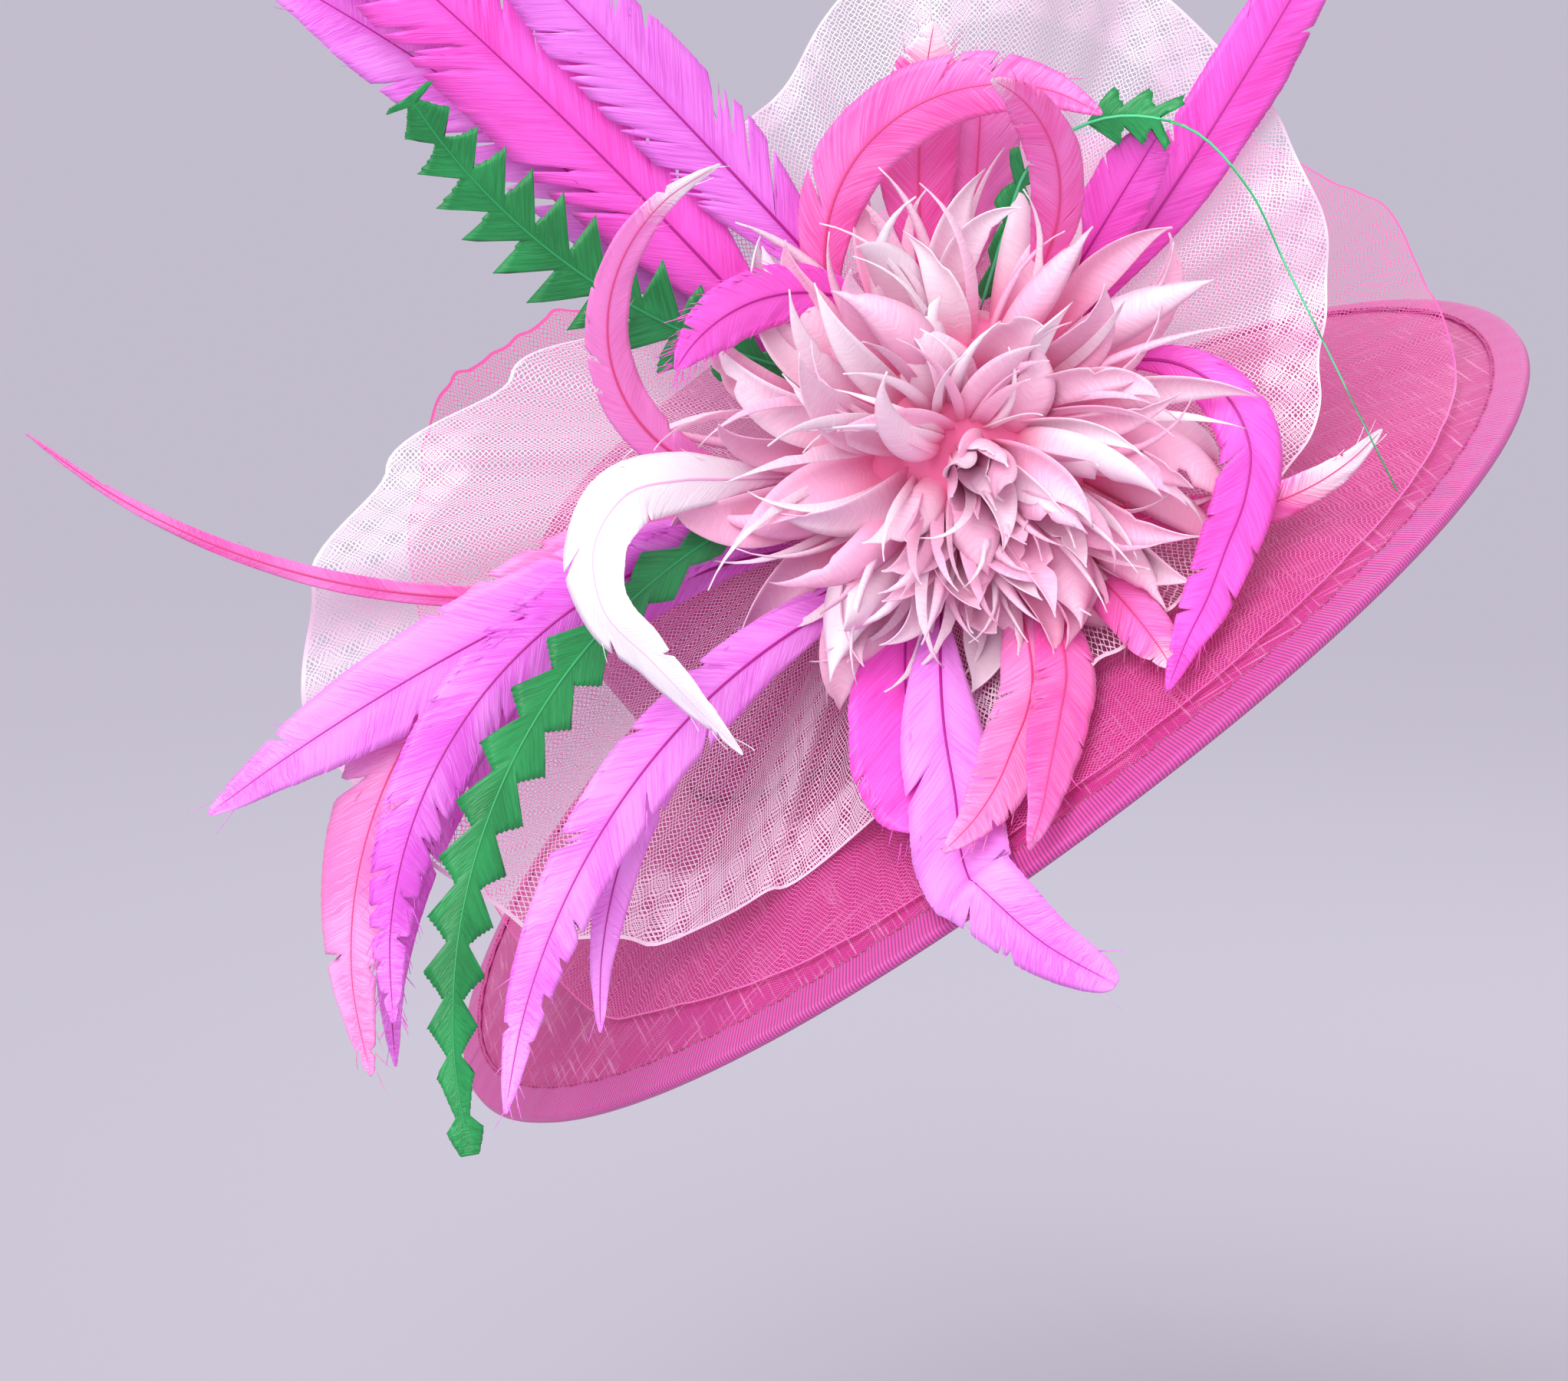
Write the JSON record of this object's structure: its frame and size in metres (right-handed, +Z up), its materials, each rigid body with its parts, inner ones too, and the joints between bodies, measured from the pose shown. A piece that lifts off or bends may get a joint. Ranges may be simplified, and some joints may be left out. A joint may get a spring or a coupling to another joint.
{
  "type": "wide-brimmed fascinator hat",
  "caption": "Wide oval sinamay brim and crown with crinoline frills, a feather flower and long curled feathers, worn tilted to one side for dressy occasions",
  "frame": {"origin": "centre of the head opening, in the plane of the crown's foot", "axes": "+Z up as worn, +X to the wearer's raised side of the brim, -Y towards the side with the feather flower; the hat's own axis leans 34 degrees towards -X and 11 degrees forward"},
  "size_m": [0.5027, 0.4499, 0.4431],
  "materials": {
    "sinamay": "hot pink open-weave sinamay straw, stiffened, slightly shiny",
    "grosgrain": "pink grosgrain ribbon folded over the edge, fine cross ribs, purple in its shadows",
    "pink_crinoline": "hot pink nylon crinoline net, glossy fine diamond mesh, see-through",
    "pale_crinoline": "pale pink to white nylon crinoline net, glossy fine diamond mesh, see-through",
    "petal_feather": "pale pink goose feathers with white highlights and coral pink depths",
    "magenta_feather": "magenta dyed coque feather, satin sheen along the barbs",
    "light_magenta_feather": "light magenta dyed coque feather, satin sheen along the barbs",
    "coral_feather": "coral pink dyed coque feather with white sheen, satin along the barbs",
    "green_feather": "green dyed coque feather, edges cut in zigzag teeth, lighter at its tip"
  },
  "bodies": {
    "root": {"crown": "sinamay", "brim": "sinamay", "edge_binding": "grosgrain", "brim_frill": "pink_crinoline", "flower_frill": "pale_crinoline", "feather_flower": "petal_feather", "feather_tall_magenta": "magenta_feather", "feather_tall_light_magenta": "light_magenta_feather", "feather_upright_magenta": "magenta_feather", "feather_left_coral_curl": "coral_feather", "feather_top_magenta_curl": "magenta_feather", "feather_coral_arch": "coral_feather", "feather_coral_upright": "coral_feather", "feather_coral_broad": "coral_feather", "feather_coral_curl": "coral_feather", "feather_oval_magenta": "magenta_feather", "feather_long_magenta_right": "magenta_feather", "feather_right_magenta_curve": "magenta_feather", "feather_right_coral_fork": "coral_feather", "feather_lower_coral_curl": "coral_feather", "feather_broad_magenta_down": "magenta_feather", "feather_coral_twist_down": "coral_feather", "feather_coral_dart_down": "coral_feather", "feather_light_magenta_under": "light_magenta_feather", "feather_white_pink_twist": "coral_feather", "feather_left_magenta": "magenta_feather", "feather_left_thin_pink": "coral_feather", "feather_left_coral_droop": "coral_feather", "feather_left_magenta_ragged": "magenta_feather", "feather_left_magenta_droop": "magenta_feather", "feather_lower_light_magenta": "light_magenta_feather", "feather_lower_light_fork": "light_magenta_feather", "feather_green_left_up": "green_feather", "feather_green_right_arch": "green_feather", "feather_green_left_down": "green_feather"}
  },
  "joints": []
}
